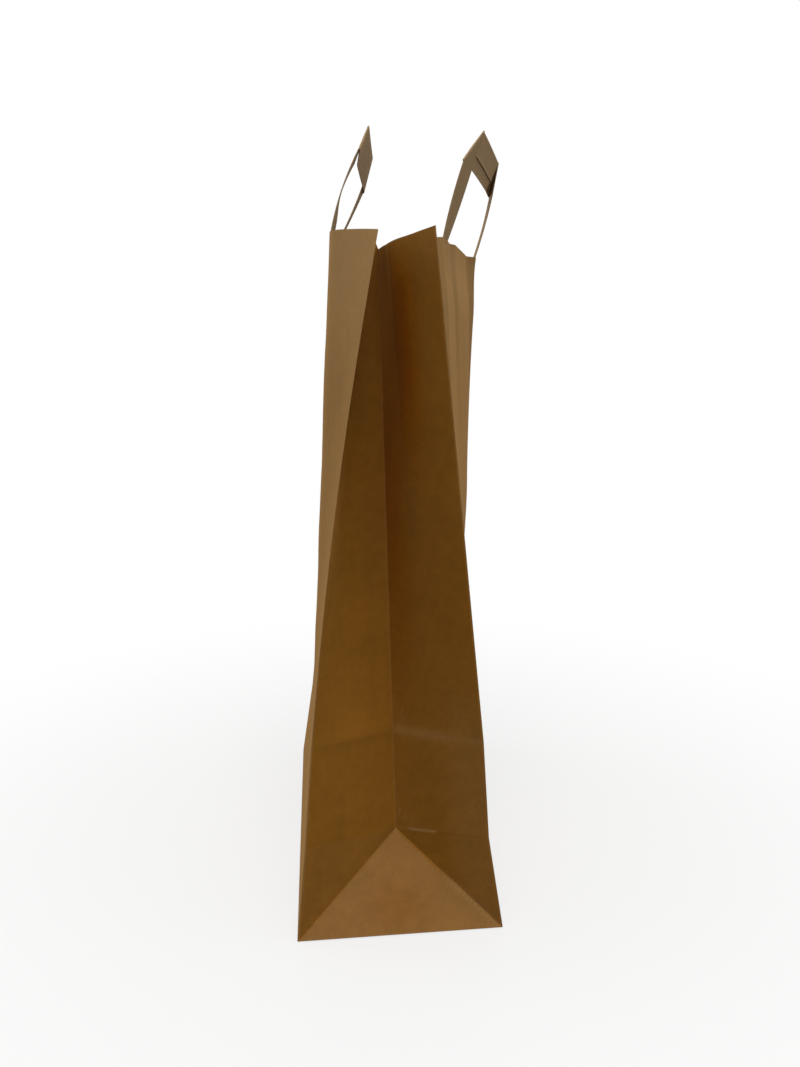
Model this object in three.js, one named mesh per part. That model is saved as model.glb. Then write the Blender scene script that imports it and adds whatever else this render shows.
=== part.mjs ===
// Paper carrier bag: a block-bottom bag of brown paper with tucked side gussets
// and two flat tape handles, standing open on its base.
// Millimetres, +Z up. The origin is the middle of the base. +X is the pinched
// gusset end, -Y is the front face and +Y is the back face.
import * as THREE from 'three';

// Paper of the bag
const bagWidth = 250;
const bagDepth = 120;
const bagHeight = 400;
const paperThickness = 0.25;

// How the mouth stands at the pinched end
const pinchGap = 29;
const pinchShift = 7;
const pinchSetBack = 6;
const creaseLean = 9.7;
const creaseSlack = 2.5;

// How far each upright edge leans in from the base corner: at the flap crease,
// at the soft fold above it, and at the rim of the far end
const frontNearFlapInset = 5.8;
const frontNearFoldInset = 11.5;
const frontFarFlapInset = 7.5;
const frontFarFoldInset = 14.5;
const frontFarRimInset = 31;
const backNearFlapInset = 8.3;
const backNearFoldInset = 12;
const backFarFlapInset = 7;
const backFarFoldInset = 9;
const backFarRimInset = 5;

// The front face turns outwards from its pinched edge: flat for a length, then bending back
const turnAngle = 34;
const turnFlat = 30;
const turnBend = 26;

// The back face bellies out, and towards the rim it steps out beside the handle's legs
const backBelly = 22.4;
const bellySkew = 2.3;
const bellyRise = 0.5;
const nearRipple = 5.8;
const middleRipple = 2.6;
const farRipple = 6;
const rippleRun = 11;
const middleRippleGap = 15.5;

// Flat tape handles, and the patches that are glued over their legs
const tapeWidth = 22;
const tapeThickness = 0.8;
const handleSpan = 138;
const frontRise = 68;
const backRise = 65;
const legDepth = 42;
const patchSideMargin = 14;
const patchBelowLegs = 10;
const patchTop = 5;
const patchStep = 3;

// How far each handle leans, in degrees: the four upright edges of its two legs, from the
// near one to the far one, at the rim and at the bar, and then the bar's near and far end
const frontLegLeans = [[10, 30], [12, 28], [35, 19], [33, 22]];
const frontBarLeans = [17, 21];
const backLegLeans = [[11, 17], [14, 27], [0, 28], [14, 18]];
const backBarLeans = [20, 16];

// Clearance kept between glued pieces
const glueGap = 0.3;

// Mesh steps
const columnStep = 8;
const gussetSteps = 4;
const bandSteps = 2;
const wallSteps = 5;
const patchSteps = 2;
const tapeSteps = 4;
const legSteps = 4;
const barSteps = 5;

// Sizes that follow from the ones above
const halfDepth = bagDepth / 2;
const flapHeight = halfDepth;
const foldHeight = bagDepth;
const legStart = (bagWidth - handleSpan) / 2;
const legEnd = bagWidth - legStart;
const legEdges = [legStart, legStart + tapeWidth, legEnd - tapeWidth, legEnd];
const ripples = [
  [legEdges[0] - rippleRun / 2, nearRipple],
  [legEdges[1] + middleRippleGap, middleRipple],
  [legEdges[2] - rippleRun / 2, farRipple],
];
const patchStart = legStart - patchSideMargin;
const patchBottom = legDepth + patchBelowLegs;
const baseMiddleZ = paperThickness / 2;
const legOffset = paperThickness / 2 + glueGap + tapeThickness / 2;
const patchShallow = paperThickness + glueGap;
const patchDeep = paperThickness + 2 * glueGap + tapeThickness;

const radians = THREE.MathUtils.degToRad;
const clamp = THREE.MathUtils.clamp;
const lerp = THREE.MathUtils.lerp;

const front = {
  side: -1,
  nearInsets: [frontNearFlapInset, frontNearFoldInset],
  farInsets: [frontFarFlapInset, frontFarFoldInset, frontFarRimInset],
  barBottom: frontRise - tapeWidth,
  legLeans: frontLegLeans,
  barLeans: frontBarLeans,
};
const back = {
  side: 1,
  nearInsets: [backNearFlapInset, backNearFoldInset],
  farInsets: [backFarFlapInset, backFarFoldInset, backFarRimInset],
  barBottom: backRise - tapeWidth,
  legLeans: backLegLeans,
  barLeans: backBarLeans,
};

// Straight lines through a list of [x, y] pairs
function through(pairs, x) {
  let k = 1;
  while (k < pairs.length - 1 && x > pairs[k][0]) k += 1;
  const [x0, y0] = pairs[k - 1];
  const [x1, y1] = pairs[k];
  return y0 + ((y1 - y0) * (x - x0)) / (x1 - x0);
}

// Break points, cut into equal steps no longer than the given one
function spaced(breaks, step) {
  const list = [breaks[0]];
  for (let k = 1; k < breaks.length; k += 1) {
    const length = breaks[k] - breaks[k - 1];
    const count = Math.max(1, Math.ceil(length / step));
    for (let i = 1; i < count; i += 1) list.push(breaks[k - 1] + (length * i) / count);
    list.push(breaks[k]);
  }
  return list;
}

// Columns run along a face from the pinched end, rows run up the paper
function faceColumns() {
  const half = [0, patchStart, legStart - patchStep, ...tapeColumns(legStart), legEdges[1] + patchStep];
  const mirrored = half.map((q) => bagWidth - q);
  const turns = ripples.map(([at]) => at - rippleRun / 2);
  const breaks = [...half, ...turns, turns[1] + rippleRun, ...mirrored];
  return spaced(breaks.sort((a, b) => a - b), columnStep);
}

function tapeColumns(start) {
  return Array.from({ length: tapeSteps + 1 }, (_, i) => start + (tapeWidth * i) / tapeSteps);
}

function paperRows() {
  const rimBreaks = [bagHeight - patchBottom, bagHeight - legDepth, bagHeight - patchTop, bagHeight];
  const even = (from, to, count) => Array.from({ length: count }, (_, i) => lerp(from, to, i / count));
  return [
    ...even(0, flapHeight, gussetSteps),
    ...even(flapHeight, foldHeight, bandSteps),
    ...even(foldHeight, rimBreaks[0], wallSteps),
    rimBreaks[0],
    ...even(rimBreaks[1], rimBreaks[2], patchSteps),
    rimBreaks[2],
    rimBreaks[3],
  ];
}

const columns = faceColumns();
const rows = paperRows();
const apexRow = gussetSteps;

// 0 up to the soft fold, then 1 at the rim
function upperShare(v) {
  return clamp((v - foldHeight) / (bagHeight - foldHeight), 0, 1);
}

// Y of a face's two upright edges at paper height v
function nearEdgeY(face, v) {
  const [flap, fold] = face.nearInsets.map((inset) => face.side * (halfDepth - inset));
  const rim = pinchShift + (face.side * pinchGap) / 2;
  return through([[0, face.side * halfDepth], [flapHeight, flap], [foldHeight, fold], [bagHeight, rim]], v);
}

function farEdgeY(face, v) {
  const [flap, fold, rim] = face.farInsets.map((inset) => face.side * (halfDepth - inset));
  return through([[0, face.side * halfDepth], [flapHeight, flap], [foldHeight, fold], [bagHeight, rim]], v);
}

// How far the front face has turned out after a length q of paper
function turnOut(q) {
  const flat = Math.min(q, turnFlat);
  const run = clamp(q - turnFlat, 0, turnBend);
  const easing = (turnBend / (2 * Math.PI)) * Math.sin((Math.PI * run) / turnBend);
  return Math.sin(radians(turnAngle)) * (flat + run / 2 + easing);
}

// Steps in the back face, with their sum taken off evenly so that both edges stay in place
function rippled(q, v) {
  const step = ([at, rise]) => {
    const done = THREE.MathUtils.smoothstep(q, at - rippleRun / 2, at + rippleRun / 2);
    return rise * (done - q / bagWidth);
  };
  return upperShare(v) ** 2 * ripples.reduce((sum, ripple) => sum + step(ripple), 0);
}

// Y of a face at length q along it and paper height v
function faceY(face, q, v) {
  const share = q / bagWidth;
  const straight = lerp(nearEdgeY(face, v), farEdgeY(face, v), share);
  if (face === front) return straight - upperShare(v) * (turnOut(q) - turnOut(bagWidth) * share);
  const belly = backBelly * Math.sin(Math.PI * share ** bellySkew);
  return straight + (v / bagHeight) ** bellyRise * belly + rippled(q, v);
}

// What is left of a step along the paper that also moves sideways
function climb(step, dx, dy) {
  return Math.sqrt(Math.max(step ** 2 - dx ** 2 - dy ** 2, (step / 4) ** 2));
}

// Grid of points on a face, with the paper's length kept along and up it
function faceGrid(face) {
  const grid = rows.map((v) => {
    let x = bagWidth / 2 - pinchSetBack * upperShare(v);
    return columns.map((q, i) => {
      const y = faceY(face, q, v);
      if (i > 0) x -= climb(q - columns[i - 1], y - faceY(face, columns[i - 1], v), 0);
      return new THREE.Vector3(x, y, baseMiddleZ);
    });
  });
  for (let j = 1; j < rows.length; j += 1) {
    grid[j].forEach((point, i) => {
      const below = grid[j - 1][i];
      point.z = below.z + climb(rows[j] - rows[j - 1], point.x - below.x, point.y - below.y);
    });
  }
  return grid;
}

front.grid = faceGrid(front);
back.grid = faceGrid(back);

// Where the gusset's middle crease stands between its two edges, seen from above
function nearCrease(frontEdge, backEdge, v) {
  const y = (pinchShift - creaseLean) * clamp((v - flapHeight) / (bagHeight - flapHeight), 0, 1);
  const chord = halfDepth - creaseSlack * upperShare(v);
  const reach = Math.sqrt(Math.max(chord ** 2 - (backEdge.y - y) ** 2, 0));
  return new THREE.Vector3(backEdge.x - reach, y, 0);
}

function farCrease(frontEdge, backEdge) {
  const across = new THREE.Vector3().subVectors(backEdge, frontEdge).setZ(0);
  const reach = Math.sqrt(Math.max(halfDepth ** 2 - across.length() ** 2 / 4, 0));
  const inward = new THREE.Vector3(across.y, -across.x, 0).setLength(reach);
  return new THREE.Vector3().addVectors(frontEdge, backEdge).multiplyScalar(0.5).add(inward);
}

// A line from edge to crease that bows towards the front where there is paper to spare
function bowed(edge, crease, share) {
  const chord = new THREE.Vector3().subVectors(crease, edge).setZ(0);
  const length = chord.length();
  const spare = Math.max(halfDepth - length, 0);
  const across = new THREE.Vector3(-chord.y, chord.x, 0).divideScalar(length);
  if (across.y > 0) across.negate();
  const bow = (2 / Math.PI) * Math.sqrt(length * spare) * Math.sin(Math.PI * share);
  return new THREE.Vector3().lerpVectors(edge, crease, share).addScaledVector(across, bow);
}

// Grid of points on a gusset, from its front edge over the crease to its back edge
function gussetGrid(column, creaseAt) {
  const frontEdge = rows.map((v, j) => front.grid[j][column]);
  const backEdge = rows.map((v, j) => back.grid[j][column]);
  const baseMiddle = new THREE.Vector3().lerpVectors(frontEdge[0], backEdge[0], 0.5);
  const crease = rows.map((v, j) => creaseAt(frontEdge[j], backEdge[j], v));
  const apex = crease[apexRow];
  const tuck = Math.hypot(apex.x - baseMiddle.x, apex.y - baseMiddle.y);
  apex.z = baseMiddleZ + climb(halfDepth, tuck, 0);
  for (let j = apexRow + 1; j < rows.length; j += 1) {
    const below = crease[j - 1];
    crease[j].z = below.z + climb(rows[j] - rows[j - 1], crease[j].x - below.x, crease[j].y - below.y);
  }
  const halfPoint = (edges, j, step) => {
    if (j >= apexRow) return bowed(edges[j], crease[j], step / gussetSteps);
    if (step <= j && j > 0) {
      const diagonal = new THREE.Vector3().lerpVectors(edges[0], apex, j / gussetSteps);
      return new THREE.Vector3().lerpVectors(edges[j], diagonal, step / j);
    }
    const onBase = new THREE.Vector3().lerpVectors(edges[0], baseMiddle, step / gussetSteps);
    const rise = new THREE.Vector3().subVectors(apex, baseMiddle).multiplyScalar(j / gussetSteps);
    return onBase.add(rise);
  };
  return rows.map((v, j) => {
    const line = [];
    for (let step = 0; step <= gussetSteps; step += 1) line.push(halfPoint(frontEdge, j, step));
    for (let step = gussetSteps - 1; step >= 0; step -= 1) line.push(halfPoint(backEdge, j, step));
    return line;
  });
}

// Normals of a sheet at its vertices, lengthened at folds so that the sheet keeps its thickness
function sheetNormals(points, triangles) {
  const normals = points.map(() => new THREE.Vector3());
  const faceNormals = triangles.map(([a, b, c]) => {
    const triangle = new THREE.Triangle(points[a], points[b], points[c]);
    return triangle.getNormal(new THREE.Vector3());
  });
  const corners = points.map(() => []);
  triangles.forEach((triangle, f) => {
    triangle.forEach((vertex, k) => {
      const toNext = new THREE.Vector3().subVectors(points[triangle[(k + 1) % 3]], points[vertex]);
      const toLast = new THREE.Vector3().subVectors(points[triangle[(k + 2) % 3]], points[vertex]);
      normals[vertex].addScaledVector(faceNormals[f], toNext.angleTo(toLast));
      corners[vertex].push(faceNormals[f]);
    });
  });
  const mitreLimit = 2;
  return normals.map((normal, k) => {
    normal.normalize();
    const lean = Math.min(...corners[k].map((faceNormal) => normal.dot(faceNormal)));
    return normal.multiplyScalar(1 / Math.max(lean, 1 / mitreLimit));
  });
}

// A closed solid of even thickness around a sheet of triangles
function sheetSolid(points, triangles, thickness) {
  const normals = sheetNormals(points, triangles);
  const outer = points.map((point, k) => point.clone().addScaledVector(normals[k], thickness / 2));
  const inner = points.map((point, k) => point.clone().addScaledVector(normals[k], -thickness / 2));
  const count = points.length;
  const index = [];
  const borders = new Map();
  triangles.forEach(([a, b, c]) => {
    index.push(a, b, c, a + count, c + count, b + count);
    [[a, b], [b, c], [c, a]].forEach(([from, to]) => {
      if (!borders.delete(`${to}_${from}`)) borders.set(`${from}_${to}`, [from, to]);
    });
  });
  borders.forEach(([from, to]) => {
    index.push(to, from, from + count, to, from + count, to + count);
  });
  return { outer, inner, index };
}

function solidGeometry({ outer, inner, index }) {
  const geometry = new THREE.BufferGeometry();
  geometry.setFromPoints([...outer, ...inner]);
  geometry.setIndex(index);
  geometry.computeVertexNormals();
  return geometry;
}

// The bag: one folded and glued sheet with a flat base and an open mouth
function bagGeometry() {
  const last = columns.length - 1;
  const near = gussetGrid(0, nearCrease);
  const far = gussetGrid(last, farCrease);
  const rings = rows.map((v, j) => [
    ...near[j],
    ...back.grid[j].slice(1),
    ...far[j].slice(0, -1).reverse(),
    ...front.grid[j].slice(1, -1).reverse(),
  ]);
  const around = rings[0].length;
  const points = rings.flat();
  const triangles = [];
  const backHalfStart = gussetSteps;
  const farStart = 2 * gussetSteps + last;
  for (let j = 0; j + 1 < rows.length; j += 1) {
    for (let i = 0; i < around; i += 1) {
      const a = j * around + i;
      const b = j * around + ((i + 1) % around);
      const inNearBack = i >= backHalfStart && i < 2 * gussetSteps;
      const inFarFront = i >= farStart + gussetSteps && i < farStart + 2 * gussetSteps;
      if (inNearBack || inFarFront) {
        triangles.push([a, b, a + around], [b, b + around, a + around]);
      } else {
        triangles.push([a, b, b + around], [a, b + around, a + around]);
      }
    }
  }
  triangles.push(...baseTriangles(last, around));
  const solid = sheetSolid(points, triangles, paperThickness);
  for (let i = 0; i < around; i += 1) {
    solid.outer[i].z = 0;
    solid.inner[i].z = paperThickness;
  }
  return solidGeometry(solid);
}

// The base, between the front and back edges of the lowest ring
function baseTriangles(last, around) {
  const backAt = (i) => 2 * gussetSteps + i;
  const frontAt = (i) => (around - i) % around;
  const farAt = (k) => 2 * gussetSteps + last + k;
  const triangles = [];
  for (let k = 0; k < 2 * gussetSteps; k += 1) {
    triangles.push([frontAt(1), k + 1, k]);
    triangles.push([frontAt(last - 1), farAt(k + 1), farAt(k)]);
  }
  triangles.push([frontAt(1), backAt(1), backAt(0)]);
  triangles.push([frontAt(last - 1), backAt(last), backAt(last - 1)]);
  for (let i = 1; i + 1 < last; i += 1) {
    triangles.push([frontAt(i), frontAt(i + 1), backAt(i + 1)], [frontAt(i), backAt(i + 1), backAt(i)]);
  }
  return triangles;
}

// A point on a face's paper between the grid's own points
function onFace(face, q, v) {
  const cell = (list, x) => clamp(list.findIndex((value) => value >= x) - 1, 0, list.length - 2);
  const i = cell(columns, q);
  const j = cell(rows, v);
  const s = (q - columns[i]) / (columns[i + 1] - columns[i]);
  const t = (v - rows[j]) / (rows[j + 1] - rows[j]);
  const low = new THREE.Vector3().lerpVectors(face.grid[j][i], face.grid[j][i + 1], s);
  const high = new THREE.Vector3().lerpVectors(face.grid[j + 1][i], face.grid[j + 1][i + 1], s);
  return low.lerp(high, t);
}

// The same point moved into the bag, square to the paper
function insideFace(face, q, v, depth) {
  const reach = columnStep / 3;
  const along = onFace(face, q + reach, v).sub(onFace(face, q - reach, v));
  const up = onFace(face, q, v).sub(onFace(face, q, v - reach));
  const inward = along.cross(up).normalize();
  if (inward.y * face.side > 0) inward.negate();
  return onFace(face, q, v).addScaledVector(inward, depth);
}

// A point on the middle of a handle's tape, at length q and at height h above the rim
function onHandle(face, q, h) {
  const rim = insideFace(face, q, bagHeight + Math.min(h, 0), legOffset);
  if (h <= 0) return rim;
  const rims = legEdges.map((at) => insideFace(face, at, bagHeight, legOffset));
  const straight = (axis) => through(legEdges.map((at, k) => [at, rims[k][axis]]), q);
  const leg = Math.min(h, face.barBottom);
  const bar = h - leg;
  const meanLeans = face.legLeans.map(([low, high]) => lerp(low, high, leg / face.barBottom / 2));
  const legLean = radians(through(legEdges.map((at, k) => [at, meanLeans[k]]), q));
  const barLean = radians(through([[legStart, face.barLeans[0]], [legEnd, face.barLeans[1]]], q));
  const freed = THREE.MathUtils.smoothstep(h, 0, face.barBottom);
  const point = new THREE.Vector3(straight('x'), straight('y'), straight('z'));
  point.lerpVectors(rim, point, freed);
  point.y += leg * Math.sin(legLean) + bar * Math.sin(barLean);
  point.z += leg * Math.cos(legLean) + bar * Math.cos(barLean);
  return point;
}

// Flat pattern of a handle: two legs, two corners folded on the bias, and the bar
function handlePattern(barBottom) {
  const points = [];
  const triangles = [];
  const found = new Map();
  const vertex = (q, h) => {
    const key = `${q.toFixed(4)}_${h.toFixed(4)}`;
    if (!found.has(key)) {
      found.set(key, points.length);
      points.push([q, h]);
    }
    return found.get(key);
  };
  const panel = (qs, hs) => {
    for (let j = 0; j + 1 < hs.length; j += 1) {
      for (let i = 0; i + 1 < qs.length; i += 1) {
        const ring = [[i, j], [i + 1, j], [i + 1, j + 1], [i, j + 1]].map(([a, b]) => vertex(qs[a], hs[b]));
        triangles.push([ring[0], ring[1], ring[2]], [ring[0], ring[2], ring[3]]);
      }
    }
  };
  const tucked = rows.filter((v) => v >= bagHeight - legDepth).map((v) => v - bagHeight);
  const free = Array.from({ length: legSteps }, (_, i) => (barBottom * (i + 1)) / legSteps);
  const barHeights = tapeColumns(barBottom);
  const nearLeg = tapeColumns(legStart);
  const farLeg = tapeColumns(legEnd - tapeWidth);
  const barColumns = [];
  for (let i = 0; i <= barSteps; i += 1) barColumns.push(lerp(nearLeg[tapeSteps], farLeg[0], i / barSteps));
  panel(nearLeg, [...tucked, ...free]);
  panel(farLeg, [...tucked, ...free]);
  panel(barColumns, barHeights);
  for (let i = 0; i < tapeSteps; i += 1) {
    const k = tapeSteps - 1 - i;
    const low = barHeights[i];
    const high = barHeights[i + 1];
    panel([nearLeg[i], nearLeg[i + 1]], barHeights.slice(0, i + 1));
    panel([farLeg[k], farLeg[k + 1]], barHeights.slice(0, i + 1));
    triangles.push([vertex(nearLeg[i], low), vertex(nearLeg[i + 1], low), vertex(nearLeg[i + 1], high)]);
    triangles.push([vertex(farLeg[k], low), vertex(farLeg[k + 1], low), vertex(farLeg[k], high)]);
  }
  return { points, triangles };
}

function handleGeometry(face) {
  const { points, triangles } = handlePattern(face.barBottom);
  const placed = points.map(([q, h]) => onHandle(face, q, h));
  return solidGeometry(sheetSolid(placed, triangles, tapeThickness));
}

// A patch lies on the face inside the bag and steps over the two legs
function patchGeometry(face) {
  const onTape = (q, start) => q > start - patchStep / 2 && q < start + tapeWidth + patchStep / 2;
  const onLeg = (q) => onTape(q, legStart) || onTape(q, legEnd - tapeWidth);
  const depthAt = (q) => (onLeg(q) ? patchDeep : patchShallow);
  const across = columns.filter((q) => q >= patchStart && q <= bagWidth - patchStart);
  const up = rows.filter((v) => v >= bagHeight - patchBottom && v <= bagHeight - patchTop);
  const points = up.flatMap((v) => across.map((q) => insideFace(face, q, v, depthAt(q))));
  const triangles = [];
  for (let j = 0; j + 1 < up.length; j += 1) {
    for (let i = 0; i + 1 < across.length; i += 1) {
      const a = j * across.length + i;
      const b = a + across.length;
      triangles.push([a, a + 1, b + 1], [a, b + 1, b]);
    }
  }
  return solidGeometry(sheetSolid(points, triangles, paperThickness));
}

function paperMaterial(color) {
  return new THREE.MeshStandardMaterial({ color, roughness: 0.85, metalness: 0 });
}

function piece(name, geometry, color) {
  const mesh = new THREE.Mesh(geometry, paperMaterial(color));
  mesh.name = name;
  return mesh;
}

const bagBrown = 0x9c784c;
const tapeBrown = 0x857050;
const patchBrown = 0xa07d50;

const bag = new THREE.Group();
bag.add(piece('bag_body', bagGeometry(), bagBrown));
bag.add(piece('front_handle', handleGeometry(front), tapeBrown));
bag.add(piece('back_handle', handleGeometry(back), tapeBrown));
bag.add(piece('front_handle_patch', patchGeometry(front), patchBrown));
bag.add(piece('back_handle_patch', patchGeometry(back), patchBrown));

export default bag;
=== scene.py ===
import math

import bpy
import numpy as np
from mathutils import Matrix, Vector


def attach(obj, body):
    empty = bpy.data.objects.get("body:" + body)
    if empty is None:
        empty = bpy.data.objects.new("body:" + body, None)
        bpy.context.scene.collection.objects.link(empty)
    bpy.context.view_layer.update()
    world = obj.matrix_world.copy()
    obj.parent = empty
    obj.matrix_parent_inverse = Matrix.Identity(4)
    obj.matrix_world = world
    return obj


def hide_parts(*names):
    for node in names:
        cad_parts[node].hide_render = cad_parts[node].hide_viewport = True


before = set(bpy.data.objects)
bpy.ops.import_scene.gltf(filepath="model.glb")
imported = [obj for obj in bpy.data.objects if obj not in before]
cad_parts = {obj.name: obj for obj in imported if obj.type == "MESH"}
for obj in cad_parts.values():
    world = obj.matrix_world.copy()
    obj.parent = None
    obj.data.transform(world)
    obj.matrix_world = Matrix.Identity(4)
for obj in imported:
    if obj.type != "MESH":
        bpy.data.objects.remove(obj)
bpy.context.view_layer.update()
scene = bpy.context.scene
scene.view_settings.view_transform = "Standard"
print("frame loaded:", len(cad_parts), "solids")


# camera, fitted to the corners and creases of the bag
cameraFit = dict(
    place=(0.57181, -0.04029, 0.33724),
    forward=(-0.97395, 0.09104, -0.20688),
    roll=-0.53,             # degrees
    lens=29.08, sensor=36, clipStart=0.01,
)


def addCamera():
    forward = Vector(cameraFit["forward"]).normalized()
    right = forward.cross(Vector((0, 0, 1))).normalized()
    up = right.cross(forward)
    roll = math.radians(cameraFit["roll"])
    rolledRight = right * math.cos(roll) + up * math.sin(roll)
    rolledUp = up * math.cos(roll) - right * math.sin(roll)
    data = bpy.data.cameras.new("camera")
    data.lens = cameraFit["lens"]
    data.sensor_width = cameraFit["sensor"]
    data.clip_start = cameraFit["clipStart"]
    camera = bpy.data.objects.new("camera", data)
    turned = Matrix((rolledRight, rolledUp, -forward)).transposed().to_4x4()
    camera.matrix_world = Matrix.Translation(cameraFit["place"]) @ turned
    scene.collection.objects.link(camera)
    scene.camera = camera


addCamera()
print("camera placed")


# small helpers for node trees
def addNode(tree, kind, inputs=None, **settings):
    made = tree.nodes.new(kind)
    for key, value in settings.items():
        setattr(made, key, value)
    for key, value in (inputs or {}).items():
        if isinstance(value, bpy.types.NodeSocket):
            tree.links.new(value, made.inputs[key])
        else:
            made.inputs[key].default_value = value
    return made


def mathNode(tree, operation, *values):
    return addNode(tree, "ShaderNodeMath", dict(enumerate(values)), operation=operation).outputs[0]


def scaledVector(tree, vector, scale):
    inputs = {0: vector, "Scale": scale}
    return addNode(tree, "ShaderNodeVectorMath", inputs, operation="SCALE").outputs[0]


def rangeNode(tree, value, given, wanted, **settings):
    inputs = {"Value": value, 1: given[0], 2: given[1], 3: wanted[0], 4: wanted[1]}
    return addNode(tree, "ShaderNodeMapRange", inputs, **settings).outputs[0]


def opaque(colour):
    return (*colour, 1)


def colourMix(tree, share, one, two, **settings):
    inputs = {0: share, 6: one, 7: two}
    return addNode(tree, "ShaderNodeMix", inputs, data_type="RGBA", **settings).outputs[2]


def colourRamp(tree, share, stops):
    made = addNode(tree, "ShaderNodeValToRGB", {"Fac": share})
    elements = made.color_ramp.elements
    for at, _ in stops[1:-1]:
        elements.new(at)
    for element, (at, colour) in zip(elements, stops):
        element.position = at
        element.color = opaque(colour)
    return made.outputs[0]


def emptyTree(owner):
    owner.use_nodes = True
    owner.node_tree.nodes.clear()
    return owner.node_tree


def seenDirectly(tree):
    # rays that show the background itself, straight or in gloss and glass
    rays = addNode(tree, "ShaderNodeLightPath").outputs
    shown = mathNode(tree, "MAXIMUM", rays["Is Glossy Ray"], rays["Is Transmission Ray"])
    return mathNode(tree, "MAXIMUM", rays["Is Camera Ray"], shown)


# paper: one folded sheet with soft waves, a fine crumple and a real thickness
sheetBuild = dict(weld=1e-6, waveDetail=1.0, crumpleDetail=2.0, noiseRoughness=0.5)
sheetSizes = (
    "Thickness", "Wave Height", "Wave Size", "Crumple Height", "Crumple Size", "Sharp Angle", "Seed",
)


def buildPaperTree():
    tree = bpy.data.node_groups.new("paperSheet", "GeometryNodeTree")
    face = tree.interface
    face.new_socket("Sheet", in_out="INPUT", socket_type="NodeSocketGeometry")
    for label in sheetSizes:
        face.new_socket(label, in_out="INPUT", socket_type="NodeSocketFloat")
    face.new_socket("Paper", in_out="INPUT", socket_type="NodeSocketMaterial")
    face.new_socket("Piece", in_out="OUTPUT", socket_type="NodeSocketGeometry")
    given = tree.nodes.new("NodeGroupInput").outputs
    position = addNode(tree, "GeometryNodeInputPosition").outputs[0]
    normal = addNode(tree, "GeometryNodeInputNormal").outputs[0]
    slack = addNode(tree, "GeometryNodeInputNamedAttribute", {
        "Name": "slack",
    }, data_type="FLOAT").outputs[0]

    def welded(geometry):
        inputs = {"Geometry": geometry, "Distance": sheetBuild["weld"]}
        return addNode(tree, "GeometryNodeMergeByDistance", inputs).outputs[0]

    def moved(geometry, distance):
        inputs = {"Geometry": geometry, "Offset": scaledVector(tree, normal, distance)}
        return addNode(tree, "GeometryNodeSetPosition", inputs).outputs[0]

    def smoothed(geometry, smooth, domain):
        inputs = {"Geometry": geometry, "Shade Smooth": smooth}
        return addNode(tree, "GeometryNodeSetShadeSmooth", inputs, domain=domain).outputs[0]

    def bumps(height, size, detail):
        finer = mathNode(tree, "DIVIDE", 1.0, given[size])
        noise = addNode(tree, "ShaderNodeTexNoise", {
            "Vector": scaledVector(tree, position, finer), "W": given["Seed"],
            "Scale": 1.0, "Detail": detail, "Roughness": sheetBuild["noiseRoughness"],
        }, noise_dimensions="4D").outputs[0]
        centred = mathNode(tree, "SUBTRACT", noise, 0.5)
        return mathNode(tree, "MULTIPLY", mathNode(tree, "MULTIPLY", centred, 2.0), given[height])

    waves = bumps("Wave Height", "Wave Size", sheetBuild["waveDetail"])
    crumple = bumps("Crumple Height", "Crumple Size", sheetBuild["crumpleDetail"])
    rise = mathNode(tree, "MULTIPLY", mathNode(tree, "ADD", waves, crumple), slack)
    waved = moved(welded(given["Sheet"]), rise)
    # half of the thickness outward, and the other skin drawn inward from there
    outer = moved(waved, mathNode(tree, "MULTIPLY", given["Thickness"], 0.5))
    inner = addNode(tree, "GeometryNodeExtrudeMesh", {
        "Mesh": outer, "Offset": normal, "Individual": False,
        "Offset Scale": mathNode(tree, "MULTIPLY", given["Thickness"], -1.0),
    }, mode="FACES").outputs[0]
    flipped = addNode(tree, "GeometryNodeFlipFaces", {"Mesh": inner}).outputs[0]
    joined = addNode(tree, "GeometryNodeJoinGeometry")
    for skin in (flipped, outer):
        tree.links.new(skin, joined.inputs[0])
    edgeAngle = addNode(tree, "GeometryNodeInputMeshEdgeAngle").outputs[0]
    smoothEdge = addNode(tree, "FunctionNodeCompare", {
        0: edgeAngle, 1: given["Sharp Angle"],
    }, operation="LESS_THAN").outputs[0]
    smooth = smoothed(smoothed(welded(joined.outputs[0]), True, "FACE"), smoothEdge, "EDGE")
    real = addNode(tree, "GeometryNodeRealizeInstances", {0: smooth}).outputs[0]
    painted = addNode(tree, "GeometryNodeSetMaterial", {"Geometry": real, "Material": given["Paper"]})
    tree.links.new(painted.outputs[0], tree.nodes.new("NodeGroupOutput").inputs[0])
    return tree


paperTree = buildPaperTree()
paperSockets = {
    item.name: item.identifier for item in paperTree.interface.items_tree if item.in_out == "INPUT"
}


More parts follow.
